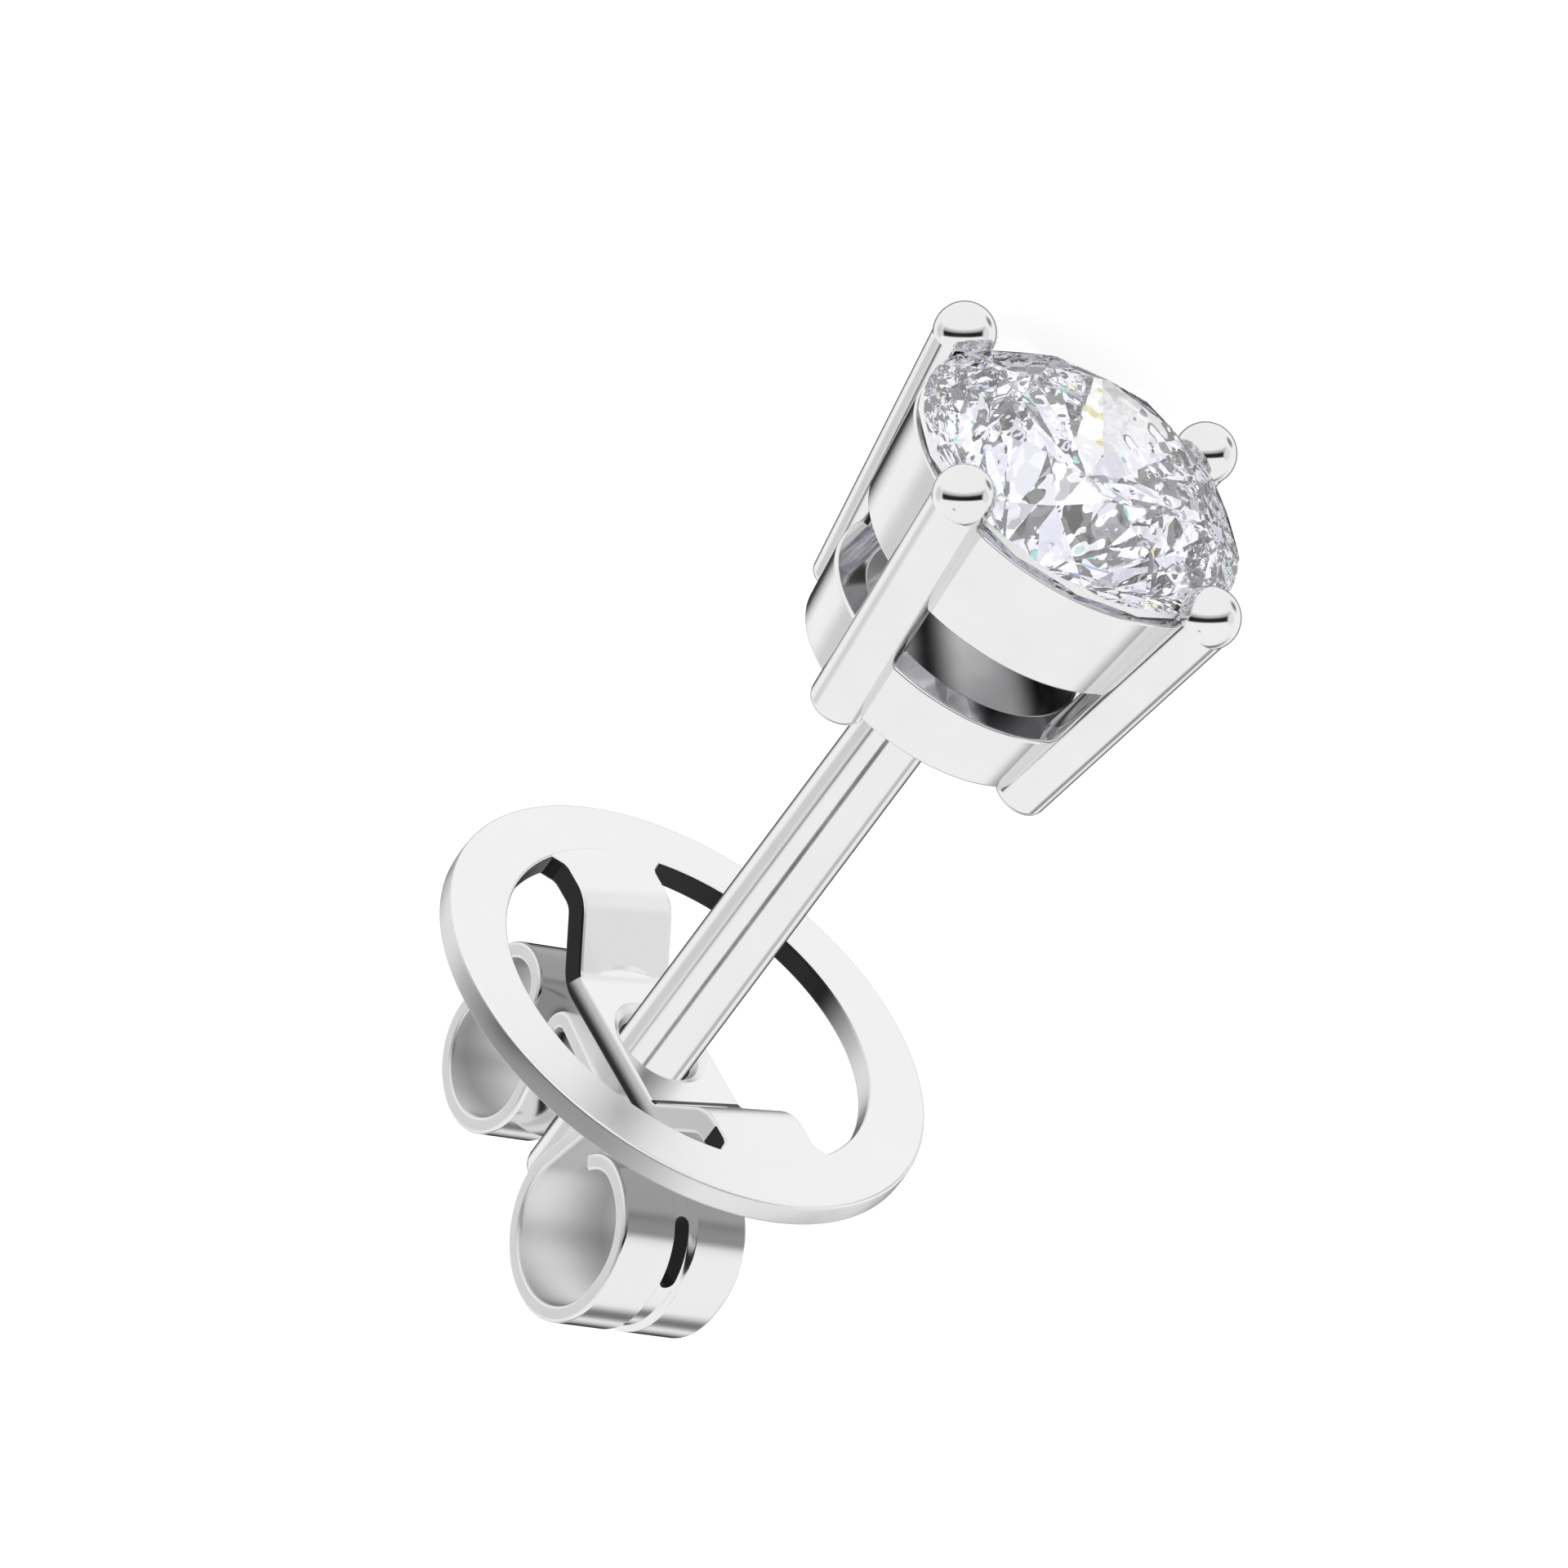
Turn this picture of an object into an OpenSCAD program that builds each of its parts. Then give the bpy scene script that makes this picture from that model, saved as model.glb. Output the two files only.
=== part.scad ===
// Stud earring with a round brilliant in a four-claw basket, and its friction back.
// Sizes are millimetres. The stud lies on a surface at z = 0 as it would by itself, on the rim
// of the back, the edge of the stone and one claw tip. +X runs along the post to the stone and
// the origin is the middle of the footprint.
// Inside the modules the post runs along +Z and the front face of the back is at z = 0.

/* [Stone] */
// Diameter of the stone at its girdle
stone_d = 4.1; // [3.8:0.1:4.2]
// Width of the table as a share of the diameter
table_share = 0.57; // [0.53:0.01:0.62]
// Slope of the crown's main facets, degrees
crown_angle = 34.5; // [32:0.5:36]
// Slope of the pavilion's main facets, degrees
pavilion_angle = 40.75; // [40:0.25:42]
// Thickness of the girdle at its thickest
girdle_t = 0.12; // [0.1:0.01:0.16]

/* [Basket] */
// Outer radius of the basket at its foot
basket_foot_r = 1.67; // [1.5:0.01:1.75]
// Height of the lower band
lower_band_h = 0.86; // [0.6:0.02:1.1]
// Height of the open window between the two bands
window_h = 0.87; // [0.6:0.02:1]
// Height of the upper band
upper_band_h = 1.28; // [1:0.02:1.4]
// Wall thickness of the bands
band_wall = 0.42; // [0.3:0.02:0.5]
// Thickness of the plate that closes the foot
foot_plate_t = 0.4; // [0.3:0.05:0.6]
// Clearance between the stone and the metal that holds it
seat_gap = 0.02; // [0.01:0.01:0.03]

/* [Claws] */
// Diameter of the claw wire
claw_d = 0.68; // [0.6:0.02:0.72]
// Diameter of the ball at each claw's tip
bead_d = 0.72; // [0.7:0.02:0.8]
// Radius of the circle that the four balls stand on
bead_circle_r = 2.23; // [2.2:0.01:2.26]
// Height of the balls' centres above the middle of the girdle
bead_over_girdle = 0.14; // [0.1:0.01:0.2]
// Distance that the claws reach below the foot
claw_overhang = 0.15; // [0.1:0.01:0.2]

/* [Post] */
// Diameter of the post
post_d = 0.9; // [0.8:0.05:0.95]
// Length of the post from the foot of the basket to its tip
post_l = 8.4; // [8:0.1:9]
// Distance from the foot of the basket to the front face of the back
back_gap = 5.35; // [5:0.05:5.6]

/* [Back disc] */
// Outer diameter of the disc
disc_d = 6.3; // [6:0.1:6.6]
// Diameter of the disc's opening
disc_hole_d = 4.8; // [4.7:0.1:4.9]
// Thickness of the disc and of its bridge
disc_t = 0.3; // [0.25:0.01:0.32]
// Width of the bridge across the opening
bridge_w = 1.36; // [1.3:0.02:1.5]
// Depth of the bridge's flat below the disc's face
bridge_depth = 0.65; // [0.55:0.01:0.7]
// Angle at which the bridge bends down, degrees
bridge_bend = 45; // [40:1:50]
// Clearance between the post and the hole in the back
post_gap = 0.02; // [0.01:0.01:0.04]

/* [Scrolls] */
// Width of the rolled strip
strip_w = 1.76; // [1.7:0.02:2]
// Thickness of the strip
strip_t = 0.2; // [0.16:0.01:0.22]
// Distance from the post's axis to the middle of the strip's inner run
roll_in = 0.47; // [0.45:0.01:0.5]
// Distance from the post's axis to the outer run of the larger scroll
large_out = 2.38; // [2.35:0.01:2.4]
// Depth of the larger scroll's lowest point below the disc's face
large_depth = 3.5; // [3.45:0.01:3.6]
// Depth of the larger scroll's top below the disc's face
large_top = 1.3; // [1.25:0.01:1.35]
// Distance from the post's axis to the outer run of the smaller scroll
small_out = 2.05; // [2:0.01:2.1]
// Depth of the smaller scroll's lowest point below the disc's face
small_depth = 3.3; // [3.25:0.01:3.4]
// Depth of the smaller scroll's top below the disc's face
small_top = 1.05; // [1:0.01:1.1]
// Width of the groove round each scroll
groove_w = 0.34; // [0.3:0.01:0.4]
// Turn of the back about the post, degrees
back_turn = 27; // [0:1:60]
// Turn of the scrolls from the line of the bridge, degrees
scroll_turn = -6; // [-10:1:10]

/* [Hidden] */
$fn = 72;
lap = 0.004;

// Heights along the post
foot_h = back_gap;
lower_top_h = foot_h + lower_band_h;
upper_foot_h = lower_top_h + window_h;
upper_top_h = upper_foot_h + upper_band_h;
rim_drop = 0.14;
girdle_h = upper_top_h + rim_drop;
bead_h = girdle_h + bead_over_girdle;
claw_foot_h = foot_h - claw_overhang;
tip_h = foot_h - post_l;

// Stone
stone_r = stone_d / 2;
table_r = stone_r * table_share;
star_share = 0.5;
lower_half_share = 0.77;
girdle_top = girdle_t / 2;
table_z = girdle_top + (stone_r - table_r) * tan(crown_angle);
culet_z = -girdle_top - stone_r * tan(pavilion_angle);
mains = 8;
main_step = 360 / mains;
half_step = main_step / 2;
table_mid_r = table_r * cos(half_step);
star_r = table_mid_r + star_share * (stone_r - table_mid_r);
star_z = table_z - (star_r * cos(half_step) - table_r) * tan(crown_angle);
lower_r = stone_r * (1 - lower_half_share);
lower_z = culet_z + lower_r * cos(half_step) * tan(pavilion_angle);
arc_steps = 5;
girdle_n = 2 * mains * arc_steps;

// Basket and claws
basket_slope = (stone_r - basket_foot_r) / (upper_top_h - foot_h);
edge = 0.03;
claw_foot_r = basket_foot_r - 0.02;
claw_lean = atan((bead_circle_r - claw_foot_r) / (bead_h - claw_foot_h));
claw_l = (bead_h - claw_foot_h) / cos(claw_lean);
claw_round = 0.12;
tip_round = 0.15;

// Back
disc_r = disc_d / 2;
disc_hole_r = disc_hole_d / 2;
bend_r = 0.35;
bridge_half_flat = 0.9;
bridge_wall = (bridge_depth - 2 * bend_r * (1 - cos(bridge_bend))) / sin(bridge_bend);
bridge_in_ring = 0.12;
tongue_l = disc_hole_r + bridge_in_ring - bridge_half_flat
    - 2 * bend_r * sin(bridge_bend) - bridge_wall * cos(bridge_bend);
post_hole_r = post_d / 2 + post_gap;
dimple_r = 0.62;
dimple_depth = 0.16;
collar_r = 0.6;
plate_gap = 0.02;
collar_foot = -bridge_depth - disc_t - strip_t - 2 * plate_gap;

// Scrolls
plate_z = -bridge_depth - disc_t - plate_gap - strip_t / 2;
first_bend_r = 0.2;
grip_lean = 14;
bend_drop = first_bend_r * (1 + sin(grip_lean));
bend_reach = first_bend_r * cos(grip_lean);
large_shoulder_r = 0.88;
large_curl = [0, 55, 0.45];
large_end = [0.12, 0, 0.45];
small_shoulder_r = 0.45;
small_curl = [0, 75, 0.4];
small_end = [0.35, 0, 0.4];
groove_floor = 0.02;
slot_w = 0.2;
slot_l = 0.5;
slot_z = -1.86;
slot_depth = 1;

// Each row is one bend of a strip: the straight run before it, how far it turns to the left in
// degrees, and the radius of the bend at the middle of the strip.
RUN = 0;
TURN = 1;
RADIUS = 2;
bridge_path = [
    [bridge_half_flat, bridge_bend, bend_r],
    [bridge_wall, -bridge_bend, bend_r],
    [tongue_l, 0, bend_r]
];

function bottom_r(out) = (out - roll_in) / 2;
function inner_run(out, depth) =
    (plate_z - bend_drop + depth - strip_t / 2 - bottom_r(out) * (1 + sin(grip_lean))) / cos(grip_lean);
function plate_run(out, depth) =
    roll_in + bottom_r(out) * (1 - cos(grip_lean)) + inner_run(out, depth) * sin(grip_lean) - bend_reach;
function outer_run(out, depth, top, shoulder_r) = depth - bottom_r(out) - top - strip_t - shoulder_r;

// Strip of one scroll from the middle of its plate. The inner run leans in towards the post.
function scroll_path(out, depth, top, shoulder_r, curl, end) = [
    [plate_run(out, depth), -90 - grip_lean, first_bend_r],
    [inner_run(out, depth), 180 + grip_lean, bottom_r(out)],
    [outer_run(out, depth, top, shoulder_r), 90, shoulder_r],
    curl,
    end
];

// The part of a strip that its groove follows, from the end of the first bend to the top
function groove_of(path) = [path[1], path[2]];

large_path = scroll_path(large_out, large_depth, large_top, large_shoulder_r, large_curl, large_end);
small_path = scroll_path(small_out, small_depth, small_top, small_shoulder_r, small_curl, small_end);

// How the stud lies: the surface touches the rim of the disc, the stone's girdle and one ball, and
// the origin is midway between the table and the smaller scroll
rest_tilt = atan((disc_r - stone_r) / (girdle_h + girdle_top));
ball_reach = disc_r - bead_h * tan(rest_tilt) - bead_d / 2 / cos(rest_tilt);
claw_turn = acos(ball_reach / bead_circle_r);
rest_lift = disc_r * cos(rest_tilt);
scroll_side = (roll_in + small_out) / 2 * cos(back_turn + scroll_turn)
    + strip_w / 2 * sin(back_turn + scroll_turn);
rest_length = (girdle_h + table_z - small_depth) * cos(rest_tilt)
    + (table_r - scroll_side) * sin(rest_tilt);
rest_shift = -rest_length / 2;

// Stone: points at the height of a facet plane, and the facets as lists of points

function ring_point(r, a, z) = [r * cos(a), r * sin(a), z];

// Height at angle a on the girdle of the plane through (r1, half_step, z1) and the two points
// (stone_r, 0, z0) and (stone_r, half_step, z0)
function half_facet_z(r1, z1, z0, a) =
    let (chord = stone_r * cos(half_step / 2))
    let (inner = r1 * cos(half_step / 2))
    z0 + (z1 - z0) * (chord - stone_r * cos(a - half_step / 2)) / (chord - inner);

function girdle_edge(r1, z1, z0) = [
    for (i = [0 : girdle_n - 1])
        let (a = i * 360 / girdle_n)
        ring_point(stone_r, a, half_facet_z(r1, z1, z0, a % half_step))
];

table_pts = [for (i = [0 : mains - 1]) ring_point(table_r, i * main_step, table_z)];
star_pts = [for (i = [0 : mains - 1]) ring_point(star_r, i * main_step + half_step, star_z)];
upper_pts = girdle_edge(star_r, star_z, girdle_top);
lower_pts = girdle_edge(lower_r, lower_z, -girdle_top);
main_pts = [for (i = [0 : mains - 1]) ring_point(lower_r, i * main_step + half_step, lower_z)];
TABLE = 0;
STAR = TABLE + mains;
UPPER = STAR + mains;
LOWER = UPPER + girdle_n;
MAIN = LOWER + girdle_n;
CULET = MAIN + mains;
stone_pts = concat(table_pts, star_pts, upper_pts, lower_pts, main_pts, [[0, 0, culet_z]]);

function rim(i) = i % girdle_n;
function next(i) = (i + 1) % mains;
function before(i) = (i + mains - 1) % mains;
function main_rim(i) = rim(i * 2 * arc_steps);
function half_rim(i) = [for (k = [0 : arc_steps]) rim(i * arc_steps + k)];
function from_base(base, list) = [for (k = list) base + k];
function reversed(list) = [for (k = [len(list) - 1 : -1 : 0]) list[k]];

// Points run clockwise as seen from outside the stone
table_face = [reversed(from_base(TABLE, [for (i = [0 : mains - 1]) i]))];
star_faces = [for (i = [0 : mains - 1]) [TABLE + i, TABLE + next(i), STAR + i]];
kite_faces = [
    for (i = [0 : mains - 1])
        [TABLE + i, STAR + i, UPPER + main_rim(i), STAR + before(i)]
];
upper_faces = [
    for (i = [0 : 2 * mains - 1])
        concat([STAR + floor(i / 2)], reversed(from_base(UPPER, half_rim(i))))
];
girdle_faces = [
    for (i = [0 : girdle_n - 1])
        [UPPER + i, UPPER + rim(i + 1), LOWER + rim(i + 1), LOWER + i]
];
lower_faces = [
    for (i = [0 : 2 * mains - 1])
        concat([MAIN + floor(i / 2)], from_base(LOWER, half_rim(i)))
];
main_faces = [
    for (i = [0 : mains - 1])
        [CULET, MAIN + before(i), LOWER + main_rim(i), MAIN + i]
];
stone_faces = concat(
    table_face, star_faces, kite_faces, upper_faces, girdle_faces, lower_faces, main_faces
);

module at_rest() {
    translate([rest_shift, 0, rest_lift])
        rotate([0, rest_tilt, 0])
            rotate([180, 0, 0])
                rotate([0, 90, 0])
                    children();
}

// Strip bent in its own plane, drawn from the origin along +X, each bend turning about a centre
// beside the strip. left and right are how far the metal reaches each side of the middle line.
module bent_strip(path, left, right, i = 0) {
    if (i < len(path)) {
        run = path[i][RUN];
        turn = path[i][TURN];
        r = path[i][RADIUS];
        side = turn < 0 ? -1 : 1;
        translate([-lap, -right])
            square([run + 2 * lap, left + right]);
        if (turn != 0) {
            translate([run, side * r])
                mirror([0, side < 0 ? 1 : 0])
                    arc_sector(side > 0 ? r - left : r - right, side > 0 ? r + right : r + left, abs(turn));
        }
        translate([run + r * sin(abs(turn)), side * r * (1 - cos(turn))])
            rotate(turn)
                bent_strip(path, left, right, i + 1);
    }
}

// Part of a flat ring that starts at the bottom and runs anticlockwise
module arc_sector(r_in, r_out, sweep) {
    steps = 4;
    intersection() {
        difference() {
            circle(r_out);
            circle(r_in);
        }
        polygon(concat([[0, 0]], [
            for (k = [0 : steps])
                let (a = -90 + sweep * k / steps)
                [3 * r_out * cos(a), 3 * r_out * sin(a)]
        ]));
    }
}

// Bent strip of a given width, standing out to one side of the post
module standing(width) {
    rotate([90, 0, 0])
        linear_extrude(width, center = true)
            children();
}

function basket_r(h) = basket_foot_r + (h - foot_h) * basket_slope;

// Section of a band between two heights, with a fine chamfer on its outer edges
function band_section(low, high) = [
    [basket_r(low) - band_wall, low],
    [basket_r(low) - edge, low],
    [basket_r(low + edge), low + edge],
    [basket_r(high - edge), high - edge],
    [basket_r(high) - edge, high],
    [basket_r(high) - band_wall, high]
];

module bands() {
    rotate_extrude() {
        polygon(band_section(upper_foot_h, upper_top_h));
        polygon(band_section(foot_h, lower_top_h));
        translate([0, foot_h])
            square([basket_foot_r - band_wall + lap, foot_plate_t]);
    }
}

// Round bar standing on z = 0, its lower edge rounded
module rounded_bar(r, l, round_r) {
    rotate_extrude() {
        translate([0, round_r])
            square([r, l - round_r]);
        square([r - round_r, 2 * round_r]);
        intersection() {
            translate([r - round_r, round_r])
                circle(round_r);
            square(r);
        }
    }
}

module claw() {
    translate([claw_foot_r, 0, claw_foot_h])
        rotate([0, claw_lean, 0])
            rounded_bar(claw_d / 2, claw_l, claw_round);
    translate([bead_circle_r, 0, bead_h])
        sphere(bead_d / 2);
}

// Room for the stone, turned from the outline that its facets lie inside
module stone_seat() {
    reach = stone_r + seat_gap;
    crown = (reach - table_r) * tan(crown_angle);
    translate([0, 0, girdle_h])
        rotate_extrude()
            polygon([
                [0, culet_z - seat_gap / cos(pavilion_angle)],
                [reach, -girdle_top],
                [reach, girdle_top + seat_gap],
                [table_r, girdle_top + seat_gap + crown],
                [0, girdle_top + seat_gap + crown]
            ]);
}

// Claws, both bands, foot plate and post, soldered into one piece
module setting() {
    color("gainsboro")
        at_rest()
            difference() {
                union() {
                    bands();
                    for (k = [0 : 3])
                        rotate(180 + claw_turn + 90 * k)
                            claw();
                    translate([0, 0, tip_h])
                        rounded_bar(post_d / 2, post_l + foot_plate_t / 2, tip_round);
                }
                stone_seat();
            }
}

module diamond() {
    color("aliceblue")
        at_rest()
            translate([0, 0, girdle_h])
                rotate(180 + claw_turn)
                    polyhedron(stone_pts, stone_faces);
}

// Flat disc with a bridge bent back across its opening, dimpled round the post hole
module back_disc() {
    color("gainsboro")
        at_rest()
            rotate(back_turn)
                difference() {
                    union() {
                        rotate_extrude()
                            polygon([
                                [disc_hole_r, -disc_t],
                                [disc_r - edge, -disc_t],
                                [disc_r, edge - disc_t],
                                [disc_r, -edge],
                                [disc_r - edge, 0],
                                [disc_hole_r, 0]
                            ]);
                        translate([0, 0, -bridge_depth - disc_t / 2])
                            for (side = [0, 180])
                                rotate(side)
                                    standing(bridge_w)
                                        bent_strip(bridge_path, disc_t / 2, disc_t / 2);
                        translate([0, 0, collar_foot])
                            cylinder(h = -bridge_depth - disc_t / 2 - collar_foot, r = collar_r);
                    }
                    translate([0, 0, -bridge_depth - dimple_depth])
                        cylinder(h = dimple_depth + lap, r1 = post_hole_r, r2 = dimple_r);
                    translate([0, 0, -2 * bridge_depth - disc_t])
                        cylinder(h = 2 * bridge_depth, r = post_hole_r);
                }
}

// Strip whose two ends are rolled into scrolls that grip the post between them
module butterfly_scrolls() {
    color("silver")
        at_rest()
            rotate(back_turn + scroll_turn)
                difference() {
                    union() {
                        grooved_scroll(large_path);
                        rotate(180)
                            grooved_scroll(small_path);
                    }
                    slot();
                    translate([0, 0, plate_z - strip_t / 2 - plate_gap])
                        cylinder(h = strip_t + 4 * plate_gap, r = collar_r + plate_gap);
                    translate([0, 0, -large_depth - lap])
                        cylinder(h = large_depth, r = post_hole_r);
                }
}

// One half of the strip, with the groove round its outside
module grooved_scroll(path) {
    difference() {
        translate([0, 0, plate_z])
            standing(strip_w)
                bent_strip(path, strip_t / 2, strip_t / 2);
        translate([path[0][RUN] + bend_reach, 0, plate_z - bend_drop])
            standing(groove_w)
                rotate(path[0][TURN])
                    bent_strip(groove_of(path), -groove_floor, strip_t);
    }
}

// Slot through the larger scroll's outer run
module slot() {
    start = large_out + strip_t - slot_depth;
    for (z = [slot_z - slot_l / 2, slot_z + slot_l / 2])
        translate([start, 0, z])
            rotate([0, 90, 0])
                cylinder(h = slot_depth, r = slot_w / 2);
    translate([start, -slot_w / 2, slot_z - slot_l / 2])
        cube([slot_depth, slot_w, slot_l]);
}

setting();
diamond();
back_disc();
butterfly_scrolls();
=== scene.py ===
"""Finishes a diamond stud earring: polished white gold, a cut stone and a soft white studio.

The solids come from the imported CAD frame. The basket with its post, the back's disc with its
bridge, and the scrolls are made again with rounded edges and true curves, in their CAD places, and
every surface gets its finish. Lengths in the formulas are millimetres: the post runs along +Z, the
front face of the back's disc is at height 0, and `finished` carries a piece to its place at rest,
in metres.
"""

import math

import bpy
import numpy as np
from mathutils import Matrix, Vector


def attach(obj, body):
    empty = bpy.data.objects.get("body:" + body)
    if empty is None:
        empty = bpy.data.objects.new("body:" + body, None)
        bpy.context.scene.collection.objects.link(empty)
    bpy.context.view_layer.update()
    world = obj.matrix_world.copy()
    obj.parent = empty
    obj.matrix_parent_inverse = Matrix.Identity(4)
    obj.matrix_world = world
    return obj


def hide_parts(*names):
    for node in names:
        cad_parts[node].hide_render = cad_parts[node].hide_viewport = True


bl_info = {
    "name": "Diamond Stud Earring",
    "version": (1, 0, 0),
    "blender": (4, 5, 0),
    "location": "3D View > Sidebar > Earring",
    "description": "Makes the finished metal, stone and studio of a diamond stud earring",
    "category": "Object",
}

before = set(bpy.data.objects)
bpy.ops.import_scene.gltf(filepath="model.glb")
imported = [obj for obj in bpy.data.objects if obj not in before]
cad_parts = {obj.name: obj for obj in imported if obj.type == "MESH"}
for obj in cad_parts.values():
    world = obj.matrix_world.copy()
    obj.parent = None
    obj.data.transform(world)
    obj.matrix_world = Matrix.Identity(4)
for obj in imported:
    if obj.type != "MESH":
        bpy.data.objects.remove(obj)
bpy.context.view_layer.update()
MM = 0.001

# Heights along the post
FOOT = 5.35
TIP = -3.05
LOWER_TOP = 6.21
UPPER_FOOT = 7.08
UPPER_TOP = 8.36
GIRDLE = 8.5
BALL = 8.64
CLAW_FOOT = 5.2
SEAT_FOOT = 8.0

# Stone and basket
STONE_R = 2.05
TABLE_R = 1.1685
GIRDLE_HALF = 0.06
CROWN = math.tan(math.radians(34.5))
PAVILION = math.tan(math.radians(40.75))
CULET = -GIRDLE_HALF - STONE_R * PAVILION
SEAT_GAP = 0.02
BAND_WALL = 0.42
FOOT_R = 1.67
FOOT_PLATE = 0.4
CLAW_FOOT_R = 1.65
BALL_CIRCLE_R = 2.23
BALL_R = 0.36
WIRE_R = 0.34
POST_R = 0.45

# Back
DISC_R = 3.15
DISC_HOLE_R = 2.4
DISC_T = 0.3
POST_HOLE_R = 0.47
BRIDGE_DEPTH = 0.65
BRIDGE_HALF_FLAT = 0.9
BRIDGE_BEND_R = 0.35
BRIDGE_BEND = math.radians(45)
BRIDGE_HALF_W = 0.68
COLLAR_R = 0.6
COLLAR_FOOT = -1.19
PLATE = -1.07
STRIP_T = 0.2
STRIP_HALF_W = 0.88
ROLL_IN = 0.47
SLOT_AT = math.radians(32.8)
BACK_TURN = 27
SCROLL_TURN = -6

# Larger and smaller scroll: outer run, depth, top, bend at the top, and the curl that ends it
LARGE = (2.38, 3.5, 1.3, 0.88, (0, 55, 0.45), (0.12, 0, 0.45))
SMALL = (2.05, 3.3, 1.05, 0.45, (0, 75, 0.4), (0.35, 0, 0.4))

# How the stud lies: tilted until the disc's rim, the girdle and one ball touch the surface
REST_TILT = math.atan((DISC_R - STONE_R) / (GIRDLE + GIRDLE_HALF))
BALL_REACH = DISC_R - BALL * math.tan(REST_TILT) - BALL_R / math.cos(REST_TILT)
CLAW_TURN = math.degrees(math.acos(BALL_REACH / BALL_CIRCLE_R))
REST_LIFT = DISC_R * math.cos(REST_TILT)
SCROLLS_AT = math.radians(BACK_TURN + SCROLL_TURN)
SCROLL_SIDE = (ROLL_IN + SMALL[0]) / 2 * math.cos(SCROLLS_AT) + STRIP_HALF_W * math.sin(SCROLLS_AT)
TABLE = GIRDLE + GIRDLE_HALF + (STONE_R - TABLE_R) * CROWN
REST_SHIFT = -(
    (TABLE - SMALL[1]) * math.cos(REST_TILT) + (TABLE_R - SCROLL_SIDE) * math.sin(REST_TILT)
) / 2
AT_REST = np.array([
    [math.sin(REST_TILT), 0, math.cos(REST_TILT)],
    [0, -1, 0],
    [math.cos(REST_TILT), 0, -math.sin(REST_TILT)],
])

# The camera's place, and its right, image-down and towards-the-camera directions
CAMERA = Vector((87.853339, 50.221332, 104.288374))
CAMERA_LENS = 291.294
RIGHT = Vector((0.512442, -0.858417, -0.022895))
DOWN = Vector((-0.602179, -0.37823, 0.703081))
TOWARDS = Vector((0.612196, 0.346501, 0.710741))

# Where the side of the post sends the camera's view, and the way across the line seen there
POST_LINE = (RIGHT * -0.532 + DOWN * 0.708 + TOWARDS * 0.464).normalized()
POST_LINE_ACROSS = RIGHT * 0.238 + DOWN * 0.178 + TOWARDS * 0.002

# Places of the finishes in each metal piece's material slots
FACE, INNER, CUT, RIM = 0, 1, 2, 3

# Part of a normal from which on its surface counts as facing that way
FACING = 0.7

# Radius, next to its axis, at which a turned profile starts and ends
CORE_R = 0.05


def linear(code):
    """Linear colour, with full alpha, of an sRGB hex code."""
    parts = [int(code[i:i + 2], 16) / 255 for i in (1, 3, 5)]
    return [c / 12.92 if c <= 0.04045 else ((c + 0.055) / 1.055) ** 2.4 for c in parts] + [1.0]


def size(name, description, millimetres):
    """Length property that a user may change, kept in metres."""
    return bpy.props.FloatProperty(
        name=name, description=description, default=millimetres * MM, min=0.0,
        unit="LENGTH", subtype="DISTANCE", precision=5,
    )


def colour(name, description, code):
    """Colour property that a user may change, kept linear."""
    return bpy.props.FloatVectorProperty(
        name=name, description=description, default=linear(code), min=0.0, max=1.0,
        size=4, subtype="COLOR",
    )


def share(name, description, value):
    """Share from 0 to 1 that a user may change."""
    return bpy.props.FloatProperty(
        name=name, description=description, default=value, min=0.0, max=1.0, subtype="FACTOR",
    )


class EarringBasket(bpy.types.PropertyGroup):
    """Sizes and colours of the claws, bands and post"""

    edge_r: size("Edge rounding", "Radius of the polished edges of both bands", 0.04)
    crease_r: size("Crease rounding", "Radius of the crease below each ball", 0.02)
    tip_r: size("Post tip", "Radius that the post's tip is rounded to", 0.15)
    polished: colour("Polished gold", "Bands, claws, balls and post", "#E6E6E6")
    polish: share("Polish roughness", "Roughness of the polished outside", 0.1)
    cast: colour("Cast gold", "Inside of the basket, where the brush came in", "#F2F2F2")
    # The seat's grey is painted shade under the stone's girdle, over the burr's real fine marks
    seat: colour("Seat", "Cut of the burr under the stone", "#707070")
    # Dark painted in bands inside the basket between the openings: painted shade of the claws and
    # bands
    inner_shade: colour("Inner shade", "Inside of the basket, between the openings", "#161616")


class EarringBack(bpy.types.PropertyGroup):
    """Sizes and colours of the disc and its bridge"""

    edge_r: size("Edge rounding", "Radius of the disc's and the bridge's edges", 0.045)
    rim_crown: size("Rim crown", "How far the middle of the disc's rim stands proud", 0.012)
    flare_r: size("Bridge flare", "Radius where the bridge widens into the disc", 0.16)
    face: colour("Pressed gold", "Disc and bridge", "#F0F0F0")
    rim: colour("Tumbled rim", "Disc's rim", "#DEDEDE")
    # Grey painted on a fifth of the rim as shade
    shaded: colour("Shaded rim", "Part of the rim that is rubbed grey", "#989898")
    edge: colour("Sheared edge", "Sheet's edges where the punch cut cleanly", "#D8D8D8")
    # The edges' dark is partly torn metal and partly painted shade
    wall: colour("Punched wall", "Sheet's edges where the punch tore it", "#303030")


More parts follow.
